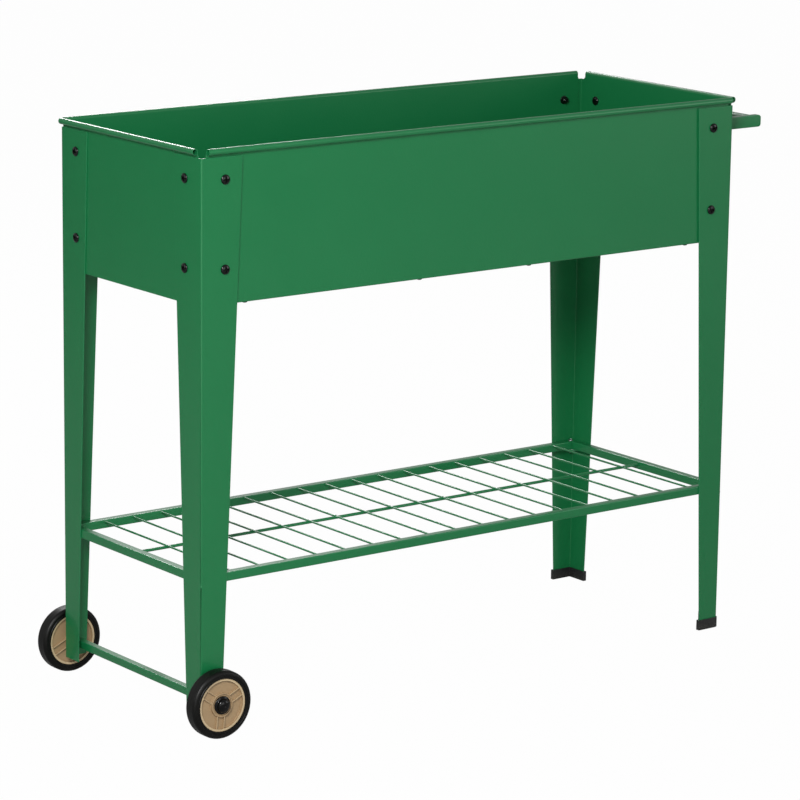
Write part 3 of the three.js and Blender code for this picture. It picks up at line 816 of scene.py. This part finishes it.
def thread_outline(radius, start, end, pitch):
    """Outline of a thread's crests and roots down from a head, ending on the axis."""
    turns = int((start - end) / pitch)
    outline = []
    for turn in range(turns):
        top = start - turn * pitch
        outline += [(radius, top), (radius, top - 0.2 * pitch)]
        outline.append((radius - 0.55 * pitch, top - 0.6 * pitch))
    return outline + [(radius, end + 0.5 * pitch), (radius - 0.5 * pitch, end), (0, end)]


def pan_head_screw(name, head, height, thread, length, pitch):
    """Screw along +Z with its head's underside at the origin and a cross recess in its domed top."""
    r = head / 2
    dome = []
    for step in range(9):
        angle = math.radians(10 * step)
        dome.append((r * math.sin(angle), height * (0.28 + 0.72 * math.cos(angle))))
    skirt = [(r, 0.3 * height), (r, 0.1 * height), (0.96 * r, 0)]
    outline = dome + skirt + thread_outline(thread / 2, 0, -length, pitch)
    body = lathed(name, outline, 28)
    slot = (0.30 * head, 0.062 * head)
    depth = 0.45 * height
    for x, y in (slot, slot[::-1]):
        body = cut(body, block("slot", (-x, -y, height - depth), (x, y, height + depth)))
    return smoothed(body, 35)


def flanged_nut(name, across, height, flange, flange_height, thread, pitch):
    """Hexagon nut along +Z with a round flange under it, chamfered corners and a threaded bore."""
    corner = across / math.sqrt(3)
    rim_radius = flange / 2
    prism = lathed(name, [(0, 0), (corner, 0), (corner, height), (0, height)], 6)
    chamfer = [(corner, 0.86 * height), (0.52 * across, height)]
    crown = lathed("crown", [(0, -height), (corner, -height), *chamfer, (0, height)], 36)
    hexagon = cut(prism, crown, "INTERSECT")
    slope = [(rim_radius, 0.6 * flange_height), (0.42 * flange, flange_height)]
    rim = lathed("rim", [(0, 0), (rim_radius, 0), *slope, (0, flange_height)], 36)
    thread_points = thread_outline(thread / 2, 0.3 * pitch, -height - pitch, pitch)
    bore = lathed("bore", [(0, -height), *[(r, -d) for r, d in thread_points]], 24)
    return smoothed(cut(cut(hexagon, rim, "UNION"), bore), 35)


def fastener_tree():
    """A template set on every point, along the point's facing, each turned by its own chance amount."""
    tree, given, results = group(
        "set fasteners",
        "GeometryNodeTree",
        [
            ("Geometry", "NodeSocketGeometry", None),
            ("Template", "NodeSocketObject", None),
            ("Seed", "NodeSocketInt", 1),
            ("Material", "NodeSocketMaterial", None),
        ],
        [("Geometry", "NodeSocketGeometry")],
    )
    template = node(tree, "GeometryNodeObjectInfo", {"Object": given["Template"]}).outputs["Geometry"]
    facing = node(tree, "GeometryNodeInputNamedAttribute", {"Name": "facing"}, data_type="FLOAT_VECTOR")
    aimed = node(
        tree, "FunctionNodeAlignRotationToVector", {"Vector": facing.outputs[0]}, axis="Z"
    ).outputs[0]
    chance = node(
        tree,
        "FunctionNodeRandomValue",
        {2: 0.0, 3: math.tau, "Seed": given["Seed"]},
        data_type="FLOAT",
    ).outputs[1]
    twist = node(tree, "FunctionNodeAxisAngleToRotation", {"Axis": (0, 0, 1), "Angle": chance}).outputs[0]
    turned = node(
        tree, "FunctionNodeRotateRotation", {0: aimed, 1: twist}, rotation_space="LOCAL"
    ).outputs[0]
    placed_all = node(
        tree,
        "GeometryNodeInstanceOnPoints",
        {"Points": given["Geometry"], "Instance": template, "Rotation": turned},
    ).outputs[0]
    real = node(tree, "GeometryNodeRealizeInstances", {"Geometry": placed_all}).outputs[0]
    coated = node(tree, "GeometryNodeSetMaterial", {"Geometry": real, "Material": given["Material"]})
    tree.links.new(coated.outputs[0], results["Geometry"])
    return tree


def seats_mesh(seats):
    """Points with a facing each, one to a fastener."""
    mesh = bpy.data.meshes.new("seats")
    mesh.from_pydata([place for place, facing in seats], [], [])
    attribute = mesh.attributes.new("facing", "FLOAT_VECTOR", "POINT")
    for index, (place, facing) in enumerate(seats):
        attribute.data[index].vector = facing
    return mesh


def add_fasteners(name, template, seats, seed, material, replaced=()):
    model = carrier(template)
    mesh = grown(name, fasteners, seats_mesh(seats), template=model, seed=seed, material=material)
    bpy.data.objects.remove(model)
    piece(name, mesh, [material], "chassis", replaced)


def outward(node_name):
    """The way out of the planter through the flange that a bolt or nut is on."""
    place = middle(node_name)
    if "_side_" in node_name:
        return Vector((0, math.copysign(1, place.y), 0))
    return Vector((math.copysign(1, place.x - SPAN_MIDDLE), 0, 0))


def end_point(node_name, way):
    """The middle of a node's end face towards a way along one axis."""
    return middle(node_name) + way * (abs(size(node_name).dot(way)) / 2)


def add_headed(name, nodes, ways, seed):
    """Bolts or long screws in the place of CAD ones, each with its head facing its own way."""
    seats = [(end_point(one, way) - way * BOLT_HEAD_HEIGHT, way) for one, way in zip(nodes, ways)]
    length = abs(size(nodes[0]).dot(ways[0])) - BOLT_HEAD_HEIGHT
    template = pan_head_screw(
        f"{name} template", BOLT_HEAD, BOLT_HEAD_HEIGHT, BOLT_THREAD, length, BOLT_PITCH
    )
    add_fasteners(name, template, seats, seed, black_coat, nodes)


def add_bolts():
    bolts = sorted(name for name in frame["nodes"] if "_bolt_" in name)
    add_headed("leg_bolts", bolts, [outward(name) for name in bolts], 3)

    nuts = sorted(name for name in frame["nodes"] if "_nut_" in name)
    seats = [(end_point(name, outward(name)), -outward(name)) for name in nuts]
    template = flanged_nut(
        "nut", NUT_ACROSS, NUT_HEIGHT, NUT_FLANGE, NUT_FLANGE_HEIGHT, BOLT_THREAD, BOLT_PITCH
    )
    add_fasteners("leg_nuts", template, seats, 5, black_coat, nuts)

    inward = Vector((-1, 0, 0))
    add_headed("handle_screws", ["front_handle_screw", "rear_handle_screw"], [inward, inward], 9)


def add_small_set(kind, places, facing, head_seat, nut_seat, seed, material):
    """Small screws whose heads face up or down from one height, and their nuts at the other."""
    length = abs(head_seat - nut_seat) + SMALL_NUT_HEIGHT + SMALL_THREAD_SHOW
    screw = pan_head_screw(
        f"{kind} screw", SMALL_HEAD, SMALL_HEAD_HEIGHT, SMALL_THREAD, length, SMALL_PITCH
    )
    seats = [(Vector((x, y, head_seat)), facing) for x, y in places]
    add_fasteners(f"{kind}_screws", screw, seats, seed, material)
    nut = flanged_nut(
        f"{kind} nut", SMALL_NUT_ACROSS, SMALL_NUT_HEIGHT, SMALL_NUT_FLANGE,
        SMALL_NUT_FLANGE_HEIGHT, SMALL_THREAD, SMALL_PITCH,
    )
    seats = [(Vector((x, y, nut_seat)), -facing) for x, y in places]
    add_fasteners(f"{kind}_nuts", nut, seats, seed + 2, material)


def add_small_screws():
    """The small screws under the box and at the shelf's corners, and their nuts."""
    up = Vector((0, 0, 1))
    under = low("front_panel").z
    above = high("floor_panel").z
    places = [
        (SPAN_MIDDLE + end * reach, side * FLOOR_SCREW_ROW)
        for side in (-1, 1) for end in (-1, 1) for reach in (FLOOR_SCREW_MID, FLOOR_SCREW_END)
    ]
    places += [(SPAN_MIDDLE + end * FLOOR_SCREW_COLUMN, 0) for end in (-1, 1)]
    add_small_set("floor", places, -up, under, above, 11, black_coat)

    rail_top = high("shelf_front_rail").z
    gusset = low("shelf_front_rail").z - GUSSET_DROP
    corners = [
        (middle("shelf_front_rail").x + end * SHELF_SCREW_REACH, middle(f"shelf_{side}_rail").y)
        for side in ("front", "rear") for end in (-1, 1)
    ]
    add_small_set("shelf", corners, up, rail_top, gusset, 17, bright_zinc)


# ---------------------------------------------------------------- wheels

def wheel_frame(side):
    """Centre of a wheel on its inner side, and the way out along its axle."""
    way = Vector((0, -1 if side == "front" else 1, 0))
    centre = middle(f"{side}_tyre") - way * size(f"{side}_tyre").y / 2
    return centre, way


def add_tyre(side):
    """Tyre with a bead ring on each side, round shoulders and a fine parting line on its tread."""
    centre, way = wheel_frame(side)
    width = size(f"{side}_tyre").y / MM
    radius = size(f"{side}_tyre").z / 2 / MM
    bore = radius - TYRE_DEPTH / MM
    bead = bore + 2.2
    half = [(bore, 0.15), (bead, 0.15), (bead + 0.5, 0.6), (bead + 1.3, 0.6), (bead + 1.7, 0)]
    shoulder = TYRE_SHOULDER / MM
    for step in range(9):
        angle = math.radians(-90 + 11.25 * step)
        out = radius - shoulder + shoulder * math.cos(angle) - 0.12
        half.append((out, shoulder + shoulder * math.sin(angle)))
    half += [(radius - 0.12, width / 2 - 0.5), (radius, width / 2 - 0.15)]
    outline = half + [(r, width - d) for r, d in reversed(half)]
    mesh = evened(revolved(f"{side}_tyre_moulded", millimetres(outline), centre, way, 144), 30)
    piece(f"{side}_tyre_moulded", mesh, [tyre_rubber], f"{side}_wheel", [f"{side}_tyre"])


def hub_outline(radius, inner, outer, sleeve_end):
    """Half section of a hub: bore, sleeve, web, rim, boss ring and the seat of the cap."""
    rim = radius - HUB_RIM_WALL
    ring = BOSS_RADIUS - BOSS_WALL
    web_in = inner + WEB_RECESS
    web_out = outer - WEB_RECESS
    seat = outer - BOSS_RECESS
    bore = AXLE_BORE / 2
    corners = [
        (bore, sleeve_end), (SLEEVE_RADIUS, sleeve_end), (SLEEVE_RADIUS, web_in), (rim, web_in),
        (rim, inner), (radius, inner), (radius, outer), (rim, outer), (rim, web_out),
        (BOSS_RADIUS, web_out), (BOSS_RADIUS, outer), (ring, outer), (ring, seat), (bore, seat),
    ]
    return filleted(corners, HUB_EDGE)


def spoke_ribs(centre, way, rim, inner, outer):
    """Paired ribs on both faces of the web, from boss or sleeve out into the rim."""
    outer_rib = (BOSS_RADIUS - BOSS_WALL / 2, outer - WEB_RECESS - RIB_SINK, outer - RIB_SINK)
    inner_rib = (SLEEVE_RADIUS - RIB_SINK, inner + RIB_SINK, inner + WEB_RECESS + RIB_SINK)
    ribs = []
    for spoke in range(SPOKES):
        turn = Matrix.Rotation(math.tau * spoke / SPOKES + way.y * math.radians(SPOKE_TURN), 3, way)
        for across in (-RIB_SPACING / 2, RIB_SPACING / 2):
            for start, first, last in (outer_rib, inner_rib):
                near = math.sqrt(max(start ** 2 - across ** 2, 1))
                far = math.sqrt((rim + HUB_RIM_WALL / 2) ** 2 - across ** 2)
                rib = block(
                    "rib",
                    ((across - RIB_THICKNESS / 2) * MM, way.y * first * MM, way.y * near * MM),
                    ((across + RIB_THICKNESS / 2) * MM, way.y * last * MM, way.y * far * MM),
                    turn,
                    centre,
                )
                ribs.append(bevelled(rib, RIB_EDGE))
    return ribs


def add_hub(side):
    """Moulded hub with its spoke ribs; rim and rib edges take a lighter copy of the moulding, a painted
    highlight.
    """
    centre, way = wheel_frame(side)
    width = size(f"{side}_tyre").y / MM
    radius = size(f"{side}_hub").z / 2 / MM
    outer = (width + HUB_WIDTH) / 2
    inner = (width - HUB_WIDTH) / 2
    sleeve_end = outer - size(f"{side}_hub").y / MM
    rim = radius - HUB_RIM_WALL
    outline = hub_outline(radius, inner, outer, sleeve_end)
    body = revolved("hub body", millimetres(outline), centre, way, 120)
    parts = [evened(body, 50), *spoke_ribs(centre, way, rim, inner, outer)]
    mesh = joined(f"{side}_hub_moulded", parts)
    # Faces out on the rim take the lighter copy of the moulding, a painted highlight.
    for face in mesh.polygons:
        off_axle = face.center - centre
        if math.hypot(off_axle.x, off_axle.z) > (rim + 0.2) * MM:
            face.material_index = 1
    finishes = [hub_moulding, hub_rim_highlight]
    piece(f"{side}_hub_moulded", mesh, finishes, f"{side}_wheel", [f"{side}_hub"])


def add_cap(side):
    """Push-on cap with a broad base and a domed nose, dimpled in the middle."""
    way = wheel_frame(side)[1]
    cap = f"{side}_axle_cap"
    base = middle(cap) - way * size(cap).y / 2
    height = size(cap).y / MM
    flange = size(cap).z / 2 / MM
    outline = [
        (0, 0.1), (flange - 0.5, 0.1), (flange - 0.1, 0.5), (flange, 1.1), (flange - 0.25, 1.9),
        (flange - 0.9, 2.35), (CAP_NOSE + 0.8, 2.5), (CAP_NOSE + 0.25, 2.8), (CAP_NOSE, 3.6),
        (CAP_NOSE, CAP_NOSE_START),
    ]
    for step in range(1, 9):
        angle = math.radians(10 * step)
        rise = (height - CAP_NOSE_START) * math.sin(angle)
        outline.append((CAP_NOSE * math.cos(angle), CAP_NOSE_START + rise))
    outline += [(1.3, height - 0.1), (0.9, height - 0.5), (0.4, height - 0.75), (0, height - 0.8)]
    mesh = revolved(f"{cap}_moulded", millimetres(outline), base, way, 72, closed=False)
    piece(f"{cap}_moulded", smoothed(mesh, 50), [cap_gloss], "chassis", [cap])


def add_washer(side):
    """Plated washer with eased rims."""
    way = wheel_frame(side)[1]
    washer = f"{side}_washer"
    half = size(washer).y / 2
    outer = size(washer).z / 2
    bore = AXLE_BORE / 2 * MM
    outline = filleted([(bore, -half), (outer, -half), (outer, half), (bore, half)], WASHER_EDGE)
    mesh = revolved(f"{washer}_plated", outline, middle(washer), way, 72)
    piece(f"{washer}_plated", evened(mesh), [bright_zinc], "chassis", [washer])


def add_axle_rod():
    """Plated rod through both wheels, chamfered at its ends, with a groove near each for the cap."""
    half = size("axle_rod").y / 2 / MM
    r = size("axle_rod").z / 2 / MM
    side = [(r, 0), (r, half - 3.2), (r - 0.5, half - 2.9), (r - 0.5, half - 2.1), (r, half - 1.8),
            (r, half - 0.8), (r - 0.8, half), (0, half)]
    outline = [(a, -b) for a, b in reversed(side)] + side[1:]
    mesh = revolved(
        "axle_rod_plated", millimetres(outline), middle("axle_rod"), (0, 1, 0), 48, closed=False
    )
    piece("axle_rod_plated", smoothed(mesh), [bright_zinc], "chassis", ["axle_rod"])


def add_wheels():
    for side in ("front", "rear"):
        add_tyre(side)
        add_hub(side)
        add_cap(side)
        add_washer(side)
    add_axle_rod()


# ---------------------------------------------------------------- what stays of the CAD nodes

STAND_IN_FINISHES = {
    "bolt": black_coat, "nut": black_coat, "screw": black_coat, "washer": bright_zinc,
    "rod": bright_zinc, "tyre": tyre_rubber, "hub": hub_moulding, "cap": cap_gloss,
    "shoe": shoe_moulding,
}


def finish_nodes():
    """Gives each CAD node its finish, whether it is shown or stood for."""
    for name, made in frame["nodes"].items():
        material = green_coat
        for word, chosen in STAND_IN_FINISHES.items():
            if word in name:
                material = chosen
        made.data.materials.clear()
        made.data.materials.append(material)


# ---------------------------------------------------------------- floor, light and camera

FLOOR_SIZE = 60.0
FLOOR_COLOUR = (0.5, 0.5, 0.5, 1)
FLOOR_WHITE_SHARE = 0.985         # how much of the floor's look to the camera is plain white
FLOOR_MIRRORED_SHARE = 0.02       # and to what reflects it
AMBIENT = 0.01
SURROUND_MIRRORED = 0.45
LAMP_TARGET = Vector((0, 0, 0.45))
LAMPS = {                         # place, width, height, power in watts
    "key softbox": ((-2.6, -2.3, 2.15), 1.0, 1.0, 117),
    "left fill": ((-3.4, 0.9, 1.3), 1.6, 1.6, 10),
    "front fill": ((-0.3, -3.4, 1.0), 2.0, 1.4, 18),
    "right fill": ((2.8, -2.6, 1.2), 1.6, 1.6, 16),
    "floor bounce": ((-2.0, -2.6, 0.5), 1.6, 0.8, 6),
    "rear softbox": ((1.0, 2.7, 2.3), 1.6, 0.45, 50),
}


def ray_level(tree, seen, mirrored, otherwise=0.0):
    """A level by what asks for it: the camera, a reflection, or the light that falls on the object."""
    path = node(tree, "ShaderNodeLightPath").outputs
    direct = maths(tree, "MAXIMUM", path["Is Camera Ray"], path["Is Transmission Ray"])
    level = node(
        tree,
        "ShaderNodeMapRange",
        {"Value": path["Is Glossy Ray"], "To Min": otherwise, "To Max": mirrored},
    ).outputs[0]
    return node(tree, "ShaderNodeMapRange", {"Value": direct, "To Min": level, "To Max": seen}).outputs[0]


def white_floor():
    """A pale floor that shows all but white to the camera, with a trace of the planter's shadow."""
    bpy.ops.mesh.primitive_plane_add(size=FLOOR_SIZE, location=(0, 0, 0))
    floor = bpy.context.object
    floor.name = "floor"
    material = bpy.data.materials.new("pale floor")
    material.use_nodes = True
    tree = material.node_tree
    tree.nodes.clear()
    share = ray_level(tree, FLOOR_WHITE_SHARE, FLOOR_MIRRORED_SHARE)
    matt = node(tree, "ShaderNodeBsdfDiffuse", {"Color": FLOOR_COLOUR})
    white = node(tree, "ShaderNodeEmission", {"Color": (1, 1, 1, 1), "Strength": 1.0})
    mixed = node(tree, "ShaderNodeMixShader", {0: share, 1: matt.outputs[0], 2: white.outputs[0]})
    end = tree.nodes.new("ShaderNodeOutputMaterial")
    tree.links.new(mixed.outputs[0], end.inputs["Surface"])
    floor.data.materials.append(material)


def studio_world():
    """White to the camera, dimmer in reflections, and a plain even light on the object."""
    world = bpy.data.worlds.new("studio")
    bpy.context.scene.world = world
    world.use_nodes = True
    tree = world.node_tree
    tree.nodes.clear()
    strength = ray_level(tree, 1.0, SURROUND_MIRRORED, AMBIENT)
    light = node(tree, "ShaderNodeBackground", {"Color": (1, 1, 1, 1), "Strength": strength})
    end = tree.nodes.new("ShaderNodeOutputWorld")
    tree.links.new(light.outputs[0], end.inputs["Surface"])


def softbox(name, place, width, height, power):
    """A rectangular lamp that looks at the middle of the planter."""
    lamp = bpy.data.lights.new(name, "AREA")
    lamp.shape = "RECTANGLE"
    lamp.size = width
    lamp.size_y = height
    lamp.energy = power
    made = bpy.data.objects.new(name, lamp)
    made.location = place
    made.rotation_mode = "QUATERNION"
    made.rotation_quaternion = (LAMP_TARGET - Vector(place)).to_track_quat("-Z", "Y")
    bpy.context.scene.collection.objects.link(made)


def light_studio():
    studio_world()
    for name, (place, width, height, power) in LAMPS.items():
        softbox(name, place, width, height, power)


CAMERA_PLACE = Vector((SPAN_MIDDLE - 3.1081, -4.0950, 1.5372))
CAMERA_AZIMUTH = -37.155
CAMERA_ELEVATION = 12.730
CAMERA_ROLL = 0.740
CAMERA_LENS = 164.12


def add_camera():
    """The photograph's view, fitted to the edges of box, legs and shelf."""
    azimuth, elevation, roll = (
        math.radians(angle) for angle in (CAMERA_AZIMUTH, CAMERA_ELEVATION, CAMERA_ROLL)
    )
    back = Vector((
        math.sin(azimuth) * math.cos(elevation),
        -math.cos(azimuth) * math.cos(elevation),
        math.sin(elevation),
    ))
    level = Vector((math.cos(azimuth), math.sin(azimuth), 0))
    upright = back.cross(level)
    right = level * math.cos(roll) + upright * math.sin(roll)
    up = upright * math.cos(roll) - level * math.sin(roll)
    data = bpy.data.cameras.new("camera")
    data.lens = CAMERA_LENS
    data.sensor_width = 36
    data.clip_end = 60
    camera = bpy.data.objects.new("camera", data)
    turn = Matrix((right, up, back)).transposed().to_4x4()
    camera.matrix_world = Matrix.Translation(CAMERA_PLACE) @ turn
    bpy.context.scene.collection.objects.link(camera)
    bpy.context.scene.camera = camera


# ---------------------------------------------------------------- assembly

bpy.context.scene.view_settings.view_transform = "Standard"
fasteners = fastener_tree()
finish_nodes()
dress_steelwork()
dress_shoes()
add_grip()
add_wires()
add_bolts()
add_small_screws()
add_wheels()
white_floor()
light_studio()
add_camera()
